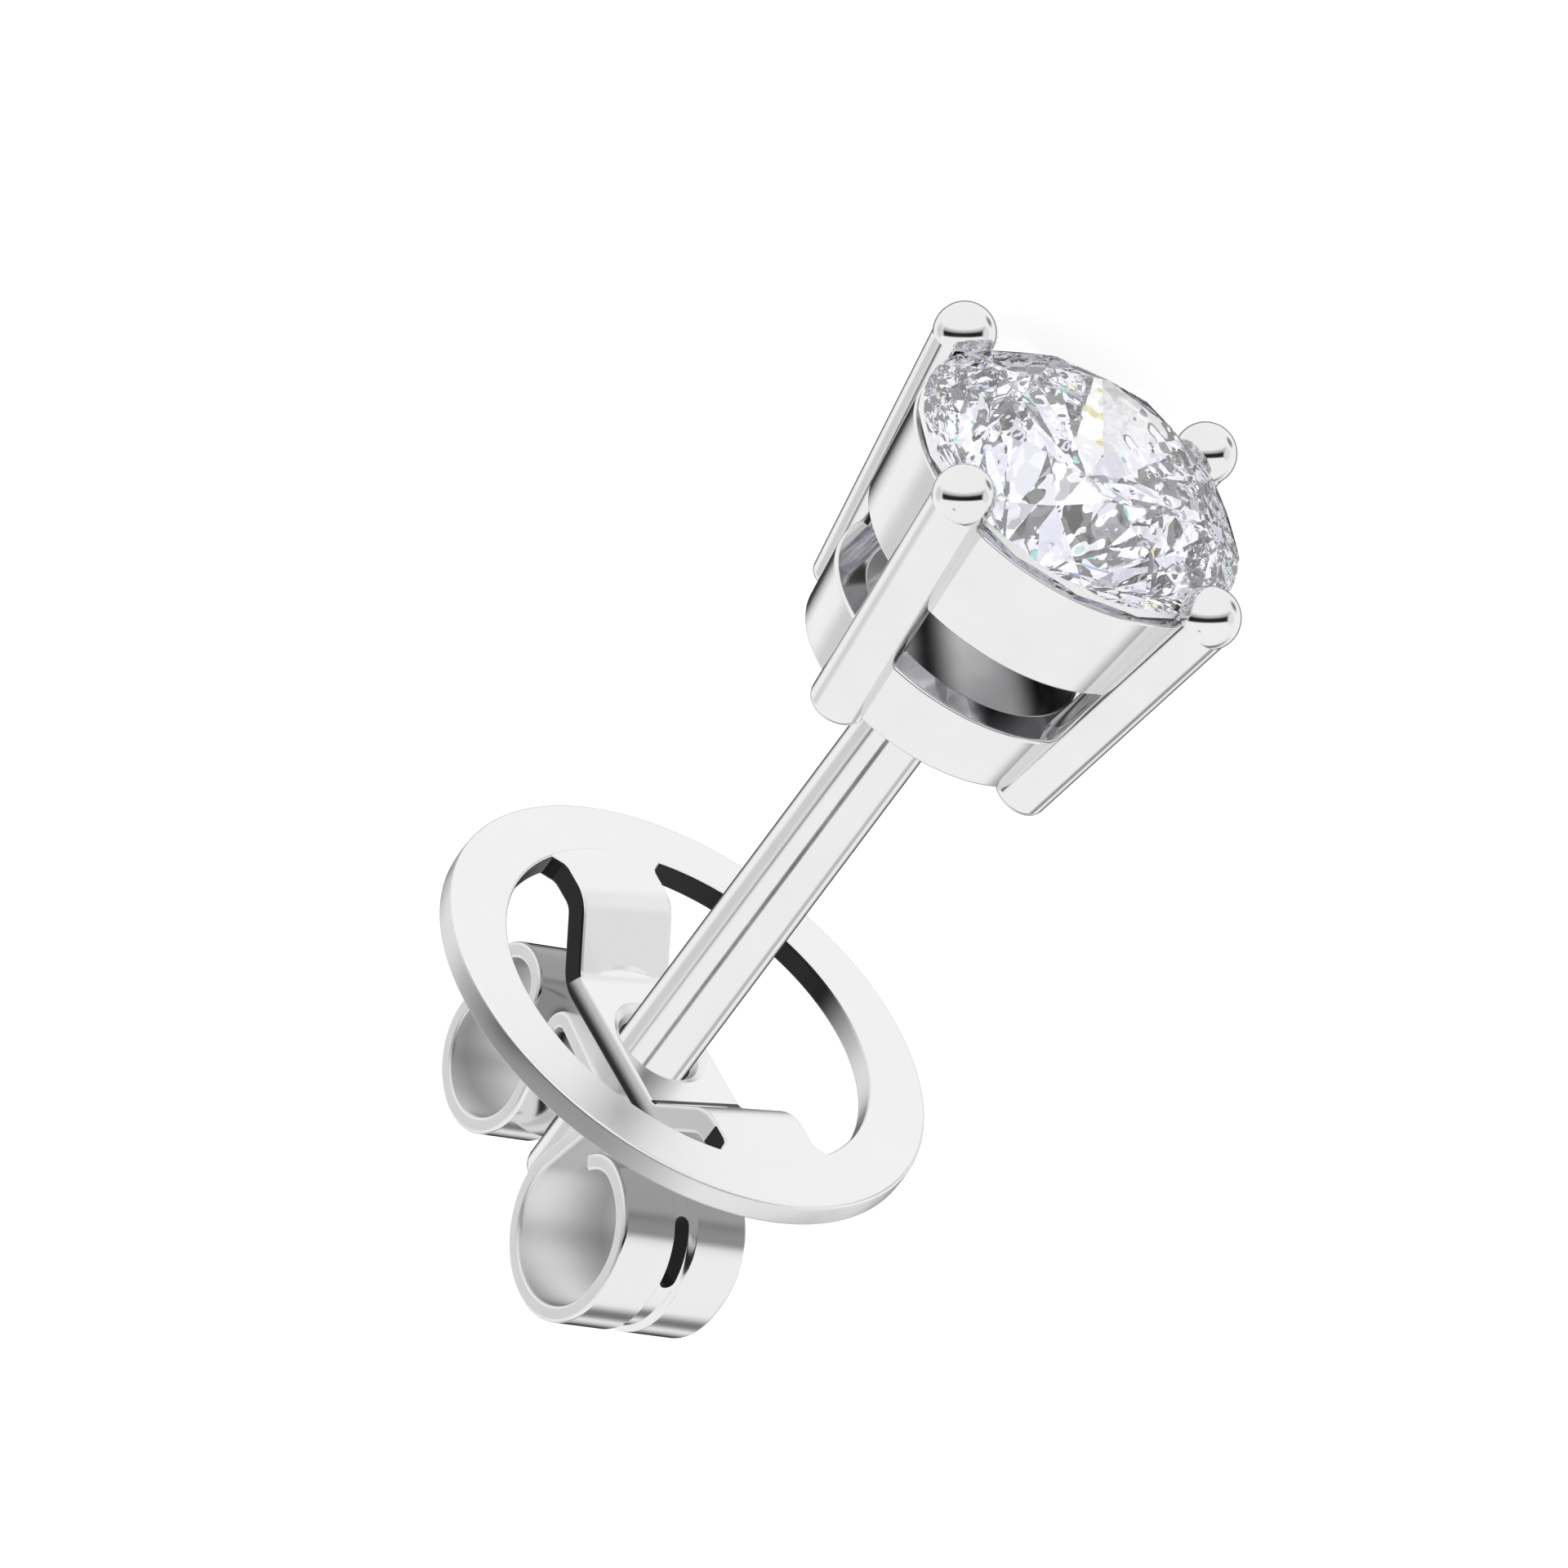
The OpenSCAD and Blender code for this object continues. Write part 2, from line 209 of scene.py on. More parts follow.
class EarringScrolls(bpy.types.PropertyGroup):
    """Sizes and colours of the rolled strip"""

    edge_r: size("Edge rounding", "Radius of the strip's edges", 0.05)
    groove_w: size("Groove width", "Width of the groove round each scroll", 0.34)
    groove_depth: size("Groove depth", "Depth of the groove round each scroll", 0.08)
    slot_l: size("Slot length", "Length of the slot, measured round the larger scroll", 0.866)
    outside: colour("Buffed gold", "Outside of the scrolls", "#E6E6E6")
    inside: colour("Rolled gold", "Inside of the scrolls, as the rolls left it", "#DADADA")
    # Grey painted on the scrolls next to the disc: the disc's painted shadow
    disc_shadow: colour("Disc shadow", "Part under the disc, out of the wheel's reach", "#949494")


class EarringStone(bpy.types.PropertyGroup):
    """Colours of the stone"""

    tint: colour("Stone tint", "Colour of light that has passed through the stone", "#FDFDFF")
    girdle: colour("Girdle", "Colour of the ground, unpolished girdle", "#FFFFFF")


class EarringStudio(bpy.types.PropertyGroup):
    """Floor and light"""

    sheet: colour("Floor sheet", "Colour of the sheet that the stud lies on", "#B0B0B0")
    glow: share("Floor glow", "Light that the sheet gives by itself", 0.8)
    flag: colour("Flag", "Colour of the dark flag that draws a line on every ball", "#1C1C1C")


class EarringSettings(bpy.types.PropertyGroup):
    """All that a user may change, piece by piece"""

    basket: bpy.props.PointerProperty(type=EarringBasket)
    back: bpy.props.PointerProperty(type=EarringBack)
    scrolls: bpy.props.PointerProperty(type=EarringScrolls)
    stone: bpy.props.PointerProperty(type=EarringStone)
    studio: bpy.props.PointerProperty(type=EarringStudio)


def rounded(corners, radii, closed=False, steps=6):
    """Profile through corners, each rounded by an arc that is tangent to both its sides.

    Point k of an arc is its centre plus or less the radius times the right-hand normal of the
    first side, turned by k/steps of the corner's turn. Returns points and unit normals, which lie
    to the right of the way the profile runs.
    """
    corners = np.asarray(corners, float)
    points, normals = [], []
    for i, radius in enumerate(radii):
        here = corners[i]
        if not closed and i in (0, len(corners) - 1):
            side = corners[1] - here if i == 0 else here - corners[i - 1]
            side = side / np.hypot(*side)
            points.append(here[None])
            normals.append(np.array([[side[1], -side[0]]]))
            continue
        first = here - corners[i - 1]
        second = corners[(i + 1) % len(corners)] - here
        first = first / np.hypot(*first)
        second = second / np.hypot(*second)
        turn = math.atan2(first[0] * second[1] - first[1] * second[0], first @ second)
        angle = turn * np.arange(steps + 1) / steps
        way = math.copysign(1, turn)
        right = np.array([first[1], -first[0]])
        start = here - first * radius * math.tan(abs(turn) / 2)
        centre = start - way * radius * right
        arc = np.stack([
            right[0] * np.cos(angle) - right[1] * np.sin(angle),
            right[0] * np.sin(angle) + right[1] * np.cos(angle),
        ], axis=1)
        points.append(centre + way * radius * arc)
        normals.append(arc)
    return np.concatenate(points), np.concatenate(normals)


def turned(profile, steps=160):
    """Surface of revolution: the profile's (radius, height) carried round the post's axis.

    A point is (radius cos a, radius sin a, height) with a going once round in even steps, and its
    normal is the profile's normal carried round in the same way. Returns a grid of each.
    """
    angle = np.linspace(0, 2 * np.pi, steps, endpoint=False)
    around = np.stack([np.cos(angle), np.sin(angle)], axis=1)
    grids = []
    for rows in profile:
        grid = np.empty((len(rows), steps, 3))
        grid[:, :, :2] = rows[:, None, :1] * around[None]
        grid[:, :, 2] = rows[:, 1:]
        grids.append(grid)
    return grids


def bent(path, step=4.0, spacing=0.06):
    """Middle line of a bent strip: straight runs and arcs, each starting where the last one ends.

    Along a run the point moves by its length along the heading. Round an arc the heading turns
    evenly, and the point is the arc's centre less the radius times the left-hand normal, or plus
    it where the turn is to the right. A run has a point about every spacing millimetres, and an
    arc one about every step degrees. Returns points and unit headings.
    """
    here, heading = np.zeros(2), 0.0
    points, headings = [], []
    for run, turn, radius in path:
        ahead = np.array([math.cos(heading), math.sin(heading)])
        along = np.linspace(0, run, max(2, int(run / spacing) + 1))
        points.append(here + along[:, None] * ahead)
        headings.append(np.full(len(along), heading))
        here = here + run * ahead
        if turn:
            side = math.copysign(1, turn)
            angle = heading + np.radians(turn) * np.linspace(0, 1, int(abs(turn) / step) + 2)
            left = np.stack([-np.sin(angle), np.cos(angle)], axis=1)
            arc = here + side * radius * (left[0] - left)
            points.append(arc[1:])
            headings.append(angle[1:])
            here = arc[-1]
            heading = angle[-1]
    points, headings = np.concatenate(points), np.concatenate(headings)
    apart = np.hypot(*np.diff(points, axis=0).T) > 1e-6
    keep = np.concatenate([[True], apart])
    return points[keep], np.stack([np.cos(headings), np.sin(headings)], axis=1)[keep]


def length_along(line):
    """Length from a line's start to each of its points: the sum of the steps between them."""
    return np.concatenate([[0], np.cumsum(np.hypot(*np.diff(line, axis=0).T))])


def round_ended(line, headings, radius, steps=6):
    """Strip's middle line with both its ends rounded by nearly a quarter circle.

    At angle a of the circle the line stands radius x (1 - sin a) short of its end, its section
    draws in by radius x (1 - cos a), and its normals lean over towards the end by a. Returns the
    line, the headings, the shrink and the lean.
    """
    length = length_along(line)
    clear, nearly = 1.2 * radius, 0.98
    inside = (length > clear) & (length < length[-1] - clear)
    angle = np.linspace(0, np.pi / 2 * nearly, steps)
    short = (radius * (1 - np.sin(angle)))[:, None]
    first = (line[0] + short * headings[0])[::-1]
    last = line[-1] - short * headings[-1]
    flat = np.zeros(inside.sum())
    shrink = radius * (1 - np.cos(angle))
    return (
        np.concatenate([first, line[inside], last]),
        np.concatenate([
            np.repeat(headings[:1], steps, 0), headings[inside], np.repeat(headings[-1:], steps, 0)
        ]),
        np.concatenate([shrink[::-1], flat, shrink]),
        np.concatenate([-angle[::-1], flat, angle]),
    )


def strip_section(thickness, edge, groove_w=0.0, shoulder=0.07):
    """Cross-section of a strip, run anticlockwise: a rectangle with corners of radius edge.

    Columns are the share of the half width, an offset from it, the depth, the groove's bell, the
    bell's slope, and the normal's two parts. The bell is 1 in the middle of the groove and falls
    as half a cosine wave over the shoulder to 0 at its sides.
    """
    half = thickness / 2
    points, normals = rounded(
        [(-1, -half), (1, -half), (1, half), (-1, half)], [edge] * 4, closed=True
    )
    share_of_half = np.sign(points[:, 0])
    flat = np.zeros((len(points), 2))
    rows = np.column_stack([
        share_of_half, points[:, 0] - share_of_half, points[:, 1], flat, normals
    ])
    if not groove_w:
        return rows
    reach = groove_w / 2
    ramp = np.linspace(0, 1, 9)
    side = np.concatenate([reach - shoulder * ramp, -reach + shoulder * ramp[::-1]])
    bell = (1 - np.cos(np.pi * np.concatenate([ramp, ramp[::-1]]))) / 2
    slope = np.pi / 2 / shoulder * np.sin(np.pi * np.concatenate([-ramp, ramp[::-1]]))
    none, one = np.zeros(len(side)), np.ones(len(side))
    middle = np.column_stack([none, side, half * one, bell, slope, none, one])
    top = int(np.argmax((rows[:, 0] < 0) & (rows[:, 2] > 0)))
    return np.concatenate([rows[:top], middle, rows[top:]])


def swept(line, headings, section, half_width, groove=0.0, shrink=0.0, lean=0.0):
    """Strip: a cross-section carried along a bent middle line that lies in the plane of X and Z.

    A point is the middle point, plus (share x half_width + offset) along Y, plus (depth less
    groove x bell) along the right-hand normal of the heading. At a rounded end each side is drawn
    in by shrink, and the normal leans over towards the heading by the angle lean.
    """
    rows = np.ones(len(line))
    half_width, groove, shrink, lean = [rows * v for v in (half_width, groove, shrink, lean)]
    of_half, offset, depth, bell, slope, across, out = section.T
    side = of_half * (half_width - shrink)[:, None] + offset
    depth = depth - groove[:, None] * bell - np.sign(depth) * shrink[:, None]
    across = across + groove[:, None] * slope
    length = np.hypot(across, out)
    rights = headings[:, ::-1] * (1, -1)
    middle, right, ahead = [np.insert(v, 1, 0, axis=1)[:, None] for v in (line, rights, headings)]
    along_y = np.array([0.0, 1.0, 0.0])
    points = middle + side[:, :, None] * along_y + depth[:, :, None] * right
    flat = (across / length)[:, :, None] * along_y + (out / length)[:, :, None] * right
    lean = lean[:, None, None]
    return points, flat * np.cos(lean) + ahead * np.sin(lean)


def placed(name, data):
    """Object with the given data, put into the scene."""
    obj = bpy.data.objects.new(name, data)
    bpy.context.scene.collection.objects.link(obj)
    return obj


def read(items, name, width=1, kind=np.float32):
    """One value of every item, or a row of width values, as an array."""
    values = np.empty(len(items) * width, kind)
    items.foreach_get(name, values)
    return values if width == 1 else values.reshape(-1, width)


def solid(name, surface, place=None, ring=False, finish=FACE):
    """Closed mesh over a grid of points whose columns go round.

    With ring the last row joins the first; otherwise each end closes on the middle of its row.
    place, if given, is a 4x4 matrix that the points go through first. finish is the material slot
    of the grid's faces, one number or a grid of them. The faces are turned about if the volume
    inside comes out negative.
    """
    points, normals = surface
    rows, columns = points.shape[:2]
    index = np.arange(rows * columns).reshape(rows, columns)
    low = index if ring else index[:-1]
    high = np.roll(index, -1, axis=0) if ring else index[1:]
    quads = np.stack([low, np.roll(low, -1, 1), np.roll(high, -1, 1), high], axis=-1).reshape(-1, 4)
    slots = np.broadcast_to(finish, (rows, columns)).ravel()[quads].min(axis=1)
    faces = quads.tolist()
    flat, flat_normals = points.reshape(-1, 3), normals.reshape(-1, 3)
    if not ring:
        ends = np.array([points[0].mean(0), points[-1].mean(0)])
        end_normals = np.array([normals[0].mean(0), normals[-1].mean(0)])
        end_normals /= np.linalg.norm(end_normals, axis=1, keepdims=True)
        flat = np.concatenate([flat, ends])
        flat_normals = np.concatenate([flat_normals, end_normals])
        first, last = rows * columns, rows * columns + 1
        faces += [[first, b, a] for a, b in zip(index[0], np.roll(index[0], -1))]
        faces += [[last, a, b] for a, b in zip(index[-1], np.roll(index[-1], -1))]
        slots = np.concatenate([slots, slots[:columns], slots[-columns:]])
    if place is not None:
        place = np.asarray(place)
        flat = flat @ place[:3, :3].T + place[:3, 3]
        flat_normals = flat_normals @ place[:3, :3].T
    a, b, c, d = (flat[quads[:, k]] for k in range(4))
    volume = np.einsum("ij,ij->", a, np.cross(b, c)) + np.einsum("ij,ij->", a, np.cross(c, d))
    if volume < 0:
        faces = [face[::-1] for face in faces]
    mesh = bpy.data.meshes.new(name)
    mesh.from_pydata(flat.tolist(), [], faces)
    corner = read(mesh.loops, "vertex_index", kind=np.int32)
    kept = mesh.attributes.new("surface_normal", "FLOAT_VECTOR", "CORNER")
    kept.data.foreach_set("vector", flat_normals[corner].astype(np.float32).ravel())
    slot_of = mesh.attributes.new("finish", "INT", "FACE")
    slot_of.data.foreach_set("value", np.ascontiguousarray(slots, np.int32))
    return placed(name, mesh)


def joined(name, base, joins=(), cuts=()):
    """Union of a base with other solids, less the cuts.

    Each face keeps the normals and the finish of the surface that it was part of.
    """
    for operation, others in (("UNION", joins), ("DIFFERENCE", cuts)):
        for other in others:
            step = base.modifiers.new(operation.lower(), "BOOLEAN")
            step.operation = operation
            step.solver = "EXACT"
            step.object = other
    bpy.context.view_layer.update()
    shape = base.evaluated_get(bpy.context.evaluated_depsgraph_get())
    mesh = bpy.data.meshes.new_from_object(shape)
    mesh.name = name
    for other in (base, *joins, *cuts):
        old = other.data
        bpy.data.objects.remove(other)
        bpy.data.meshes.remove(old)
    return placed(name, mesh)


def finished(obj, materials, turn=0.0):
    """Puts a solid in its place at rest, with its corners' normals and its faces' finishes.

    A point is turned about the post by turn degrees, carried to the rest position and scaled to
    metres. A corner takes the normal worked out for its surface, turned about where a cut has
    turned the face about, and a face that lies on no such surface keeps its own.
    """
    mesh = obj.data
    angle = math.radians(turn)
    about = np.array([
        [math.cos(angle), -math.sin(angle), 0],
        [math.sin(angle), math.cos(angle), 0],
        [0, 0, 1],
    ])
    place = AT_REST @ about
    points = read(mesh.vertices, "co", 3, float) @ place.T + (REST_SHIFT, 0, REST_LIFT)
    mesh.vertices.foreach_set("co", (points * MM).ravel())
    mesh.update()
    normals = read(mesh.attributes["surface_normal"].data, "vector", 3) @ place.T
    counts = read(mesh.polygons, "loop_total", kind=np.int32)
    flat = np.repeat(read(mesh.polygons, "normal", 3), counts, axis=0)
    length = np.linalg.norm(normals, axis=1, keepdims=True)
    # A normal shorter than known is missing, and one less alike its face's belongs to another face
    known, alike = 0.5, 0.5
    normals = np.where(length > known, normals / np.maximum(length, known), flat)
    agree = np.einsum("ij,ij->i", normals, flat)[:, None]
    normals = np.where(agree < 0, -normals, normals)
    normals = np.where(np.abs(agree) < alike, flat, normals)
    slots = read(mesh.attributes["finish"].data, "value", kind=np.int32)
    mesh.attributes.remove(mesh.attributes["finish"])
    mesh.attributes.remove(mesh.attributes["surface_normal"])
    mesh.materials.clear()
    for material in materials:
        mesh.materials.append(material)
    mesh.polygons.foreach_set("material_index", slots)
    mesh.polygons.foreach_set("use_smooth", np.ones(len(mesh.polygons), bool))
    mesh.normals_split_custom_set(normals.tolist())
    return obj


def basket_r(height):
    """Outer radius of the basket: grows evenly with height from its foot to the stone's radius."""
    return FOOT_R + (height - FOOT) * (STONE_R - FOOT_R) / (UPPER_TOP - FOOT)


def turned_basket(edge, tip_r):
    """Post, foot plate and lower band as one turned solid, and the upper band as another.

    The first profile runs from the post's tip up its side, out along the foot, up the lower band
    and down its inside to the plate. The second is closed, and its inner side is the seat: the
    girdle's lower edge less the distance inwards times the pavilion's slope.
    """
    solder, inner_crease, outer_lip, inner_lip = 0.03, 0.12, 0.03, 0.02
    lower = rounded(
        [
            (CORE_R, TIP), (POST_R, TIP), (POST_R, FOOT), (basket_r(FOOT), FOOT),
            (basket_r(LOWER_TOP), LOWER_TOP), (basket_r(LOWER_TOP) - BAND_WALL, LOWER_TOP),
            (basket_r(FOOT) - BAND_WALL, FOOT + FOOT_PLATE), (CORE_R, FOOT + FOOT_PLATE),
        ],
        [0, tip_r, solder, edge, edge, edge, inner_crease, 0],
    )
    lip = STONE_R + SEAT_GAP - (GIRDLE - GIRDLE_HALF - UPPER_TOP) / PAVILION
    seat_r = basket_r(SEAT_FOOT) - BAND_WALL
    seat = GIRDLE - GIRDLE_HALF - (STONE_R + SEAT_GAP - seat_r) * PAVILION
    upper = rounded(
        [
            (basket_r(UPPER_FOOT) - BAND_WALL, UPPER_FOOT), (basket_r(UPPER_FOOT), UPPER_FOOT),
            (basket_r(UPPER_TOP), UPPER_TOP), (lip, UPPER_TOP), (seat_r, seat),
        ],
        [edge, edge, outer_lip, inner_lip, edge],
        closed=True,
    )
    solids = []
    for name, profile, ring in (("lower", lower, False), ("upper", upper, True)):
        reach, height = profile[0].T
        inside = (height > FOOT + FOOT_PLATE / 2) & (reach < basket_r(height) - 0.9 * BAND_WALL)
        # Faces inside the basket take the cast finish, which has painted shade in bands
        finish = np.where(inside, INNER, FACE)[:, None]
        solids.append(solid(name, turned(profile), ring=ring, finish=finish))
    return solids


def claw_solids(crease_r):
    """Four round-wire claws, each turned from its profile and stood at its place in the circle.

    The profile runs up the wire to the crease, where the ball's circle cuts the wire, and on round
    the ball: radius BALL_R cos p at height claw length + BALL_R sin p. A claw leans out by the
    angle whose tangent is the growth of its circle over its height.
    """
    lean = math.atan((BALL_CIRCLE_R - CLAW_FOOT_R) / (BALL - CLAW_FOOT))
    length = math.hypot(BALL_CIRCLE_R - CLAW_FOOT_R, BALL - CLAW_FOOT)
    drop = math.sqrt(BALL_R ** 2 - WIRE_R ** 2)
    polar = np.radians(np.linspace(-60, 89, 50))
    ball_normals = np.stack([np.cos(polar), np.sin(polar)], axis=1)
    ball = BALL_R * ball_normals + (0, length)
    foot_r, past_crease = 0.12, 0.012
    keep = ball[:, 1] > length - drop + past_crease
    wire, wire_normals = rounded(
        [
            (CORE_R, 0), (WIRE_R, 0), (WIRE_R, length - drop),
            (BALL_R, length - drop + (BALL_R - WIRE_R) * WIRE_R / drop),
        ],
        [0, foot_r, crease_r, 0],
    )
    profile = (
        np.concatenate([wire[:-1], ball[keep]]),
        np.concatenate([wire_normals[:-1], ball_normals[keep]]),
    )
    claws = []
    for quarter in range(4):
        place = (
            Matrix.Rotation(math.radians(180 + CLAW_TURN + 90 * quarter), 4, "Z")
            @ Matrix.Translation((CLAW_FOOT_R, 0, CLAW_FOOT))
            @ Matrix.Rotation(lean, 4, "Y")
        )
        claws.append(solid("claw", turned(profile, 96), place))
    return claws


def stone_room():
    """Room cut for the stone: its outline turned about the post's axis, with the seat's clearance.

    The outline rises from under the culet to the girdle at the pavilion's slope, up the girdle,
    and in to the table at the crown's slope.
    """
    reach, above = STONE_R + SEAT_GAP, GIRDLE + GIRDLE_HALF + SEAT_GAP
    under = GIRDLE + CULET - SEAT_GAP * math.sqrt(1 + PAVILION ** 2)
    table = above + (reach - TABLE_R) * CROWN
    core_r = 0.01
    room = rounded(
        [
            (core_r, under), (reach, GIRDLE - GIRDLE_HALF), (reach, above), (TABLE_R, table),
            (core_r, table),
        ],
        [0, 0.002, 0.002, 0.01, 0],
        steps=2,
    )
    # The room's cut faces take the seat's finish, greyed as painted shade
    return solid("room", turned(room), finish=CUT)


class EARRING_OT_basket(bpy.types.Operator):
    """Makes the claws, both bands, the foot plate and the post as one soldered piece"""

    bl_idname = "earring.basket"
    bl_label = "Basket and Post"

    def execute(self, context):
        wanted = context.scene.earring.basket
        finishes = [
            turned_gold(wanted.polished, wanted.polish),
            cast_gold(wanted.cast, wanted.inner_shade),
            shaded_seat_gold(wanted.seat),
        ]
        lower, upper = turned_basket(wanted.edge_r / MM, wanted.tip_r / MM)
        claws = claw_solids(wanted.crease_r / MM)
        obj = finished(joined("basket_and_post", lower, [upper, *claws], [stone_room()]), finishes)
        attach(obj, "stud")
        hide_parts("setting")
        obj.visible_transmission = False
        return {"FINISHED"}


def disc_ring(edge, crown):
    """Flat ring, turned from a rectangle whose outer side bulges by the crown on a large arc."""
    corners = [
        (DISC_HOLE_R, -DISC_T), (DISC_R - crown, -DISC_T), (DISC_R, -DISC_T / 2),
        (DISC_R - crown, 0), (DISC_HOLE_R, 0),
    ]
    crown_r, rim_r = 1.2, DISC_R - 0.001
    points, normals = rounded(corners, [edge, edge, crown_r, edge, edge], closed=True)
    points[:, 0] = np.minimum(points[:, 0], rim_r)
    across = normals[:, 0]
    # The opening's wall takes the dark punched finish, painted dark as shade on all but one side
    finish = np.where(across < -FACING, CUT, np.where(across > FACING, RIM, FACE))
    return solid("ring", turned((points, normals), 240), ring=True, finish=finish[:, None])


def disc_bridge(edge, flare):
    """Bridge: the sheet's section swept along a line bent back from the ring, its middle flat.

    Its ends sink a few thousandths of a millimetre into the ring, so that no seam shows there. Its
    half width w grows into the ring as a quarter circle of the flare's radius f: w + f less the
    root of f^2 - x^2, x being the distance past the point where the flare starts.
    """
    wall = (BRIDGE_DEPTH - 2 * BRIDGE_BEND_R * (1 - math.cos(BRIDGE_BEND))) / math.sin(BRIDGE_BEND)
    bend, dip = math.degrees(BRIDGE_BEND), -0.6
    dip_r, to_dip, past_dip = 1, 0.25, 0.42
    line, headings = bent([
        (BRIDGE_HALF_FLAT, bend, BRIDGE_BEND_R), (wall, -bend, BRIDGE_BEND_R),
        (to_dip, dip, dip_r), (past_dip, 0, dip_r),
    ])
    line = line + (0, -BRIDGE_DEPTH - DISC_T / 2)
    line = np.concatenate([line[:0:-1] * (-1, 1), line])
    headings = np.concatenate([headings[:0:-1] * (1, -1), headings])
    start = math.sqrt((DISC_HOLE_R - flare) ** 2 - (BRIDGE_HALF_W + flare) ** 2)
    past = np.clip(np.abs(line[:, 0]) - start, 0, flare)
    half_w = BRIDGE_HALF_W + flare - np.sqrt(flare ** 2 - past ** 2)
    section = strip_section(DISC_T, edge)
    x, slope = line[:, 0], np.arctan2(headings[:, 1], headings[:, 0])
    # Outside this span the edges are painted dark as shade, and one bend's crease on the front is
    # painted dark as a reflection
    clean_from, clean_to = -BRIDGE_HALF_FLAT - 0.12, 1.9
    torn_and_shaded = ((x < clean_from) | (x > clean_to))[:, None]
    finish = np.where(np.abs(section[:, 5]) > FACING, np.where(torn_and_shaded, CUT, INNER), FACE)
    # Painted dark reflection along one bend's crease on the front
    crease_end, shallow, steep = 1.3, 0.12, 0.62
    crease = (x > 0) & (x < crease_end) & (slope > shallow) & (slope < steep)
    finish = np.where(crease[:, None] & (section[:, 6] < -FACING), CUT, finish)
    return solid("bridge", swept(line, headings, section, half_w), finish=finish)


def bridge_collar():
    """Collar that the strip sits on: a tube's outline turned, from its foot up into the bridge."""
    core_r, top = 0.3, -0.8
    profile = rounded(
        [(core_r, COLLAR_FOOT), (COLLAR_R, COLLAR_FOOT), (COLLAR_R, top), (core_r, top)],
        [0, 0.04, 0.01, 0],
    )
    return solid("collar", turned(profile, 96))


def dimpled_hole():
    """Room cut for the post, with the dimple round it.

    The turned outline runs straight up the hole, out along the dimple's steep slope and its flat
    one to the bridge's face, and up clear of the disc.
    """
    slope_r, dimple_r, clear_r, below, above = 0.53, 0.62, 1.1, -2, 0.2
    profile = rounded(
        [
            (CORE_R, below), (POST_HOLE_R, below), (POST_HOLE_R, -BRIDGE_DEPTH - 0.16),
            (slope_r, -BRIDGE_DEPTH - 0.06), (dimple_r, -BRIDGE_DEPTH),
            (clear_r, -BRIDGE_DEPTH + 0.03), (clear_r, above), (CORE_R, above),
        ],
        [0, 0.01, 0.02, 0.02, 0.04, 0.01, 0.01, 0],
    )
    # The hole and the dimple's steep slope take the dark finish: a painted contact shadow round the
    # post
    finish = np.where(profile[0][:, 0] < slope_r - 0.005, CUT, FACE)[:, None]
    return solid("hole", turned(profile, 128), finish=finish)


class EARRING_OT_back_disc(bpy.types.Operator):
    """Makes the flat disc of the friction back with its bridge, dimple and collar"""

    bl_idname = "earring.back_disc"
    bl_label = "Back Disc"

    def execute(self, context):
        wanted = context.scene.earring.back
        finishes = [
            pressed_gold(wanted.face),
            # The bridge's edges are painted dark towards the back of the sheet as shade
            punched_gold("bridge edge", wanted.wall, wanted.edge, ((0, 0, 1), (-0.87, -0.7))),
            # The opening's wall, the bridge's far edges and the post's hole are painted dark with
            # it as shade, light only past 1.9 mm along Y
            punched_gold("opening", wanted.wall, wanted.edge, ((0, 1, 0), (1.9, 2.39))),
            shaded_rim_gold(wanted.rim, wanted.shaded),
        ]
        edge = wanted.edge_r / MM
        ring = disc_ring(edge, wanted.rim_crown / MM)
        bridge = disc_bridge(edge, wanted.flare_r / MM)
        shape = joined("disc_and_bridge", ring, [bridge, bridge_collar()], [dimpled_hole()])
        obj = finished(shape, finishes, BACK_TURN)
        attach(obj, "friction_back")
        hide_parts("back_disc")
        obj.visible_glossy = False
        return {"FINISHED"}


def scroll_path(out, depth, top, shoulder_r, curl, end):
    """Bends of one scroll from the middle of the plate: straight run, turn to the left, radius.

    The strip bends down, leans in towards the post, turns up round the bottom, runs up the outside,
    and curls over at the top towards where it began.
    """
    lean_by, first_r = 14, 0.2
    lean = math.radians(lean_by)
    bottom_r = (out - ROLL_IN) / 2
    fall = PLATE - first_r * (1 + math.sin(lean)) + depth - STRIP_T / 2
    inner_run = (fall - bottom_r * (1 + math.sin(lean))) / math.cos(lean)
    plate_run = (
        ROLL_IN + bottom_r * (1 - math.cos(lean)) + inner_run * math.sin(lean)
        - first_r * math.cos(lean)
    )
    outer_run = depth - bottom_r - top - STRIP_T - shoulder_r
    return [
        (plate_run, -90 - lean_by, first_r), (inner_run, 180 + lean_by, bottom_r),
        (outer_run, 90, shoulder_r), curl, end,
    ]


def groove_share(length, path, taper=0.22):
    """Share of the groove's depth at a length along a scroll, counted from the plate's middle.

    It rises from 0 to 1 over the taper where the first bend ends, as 3 t^2 - 2 t^3, and falls in
    the same way where the bend at the top ends.
    """
    spans = [run + math.radians(abs(turn)) * radius for run, turn, radius in path]
    rise = np.clip(np.minimum(length - spans[0], sum(spans[:3]) - length) / taper, 0, 1)
    return rise * rise * (3 - 2 * rise)


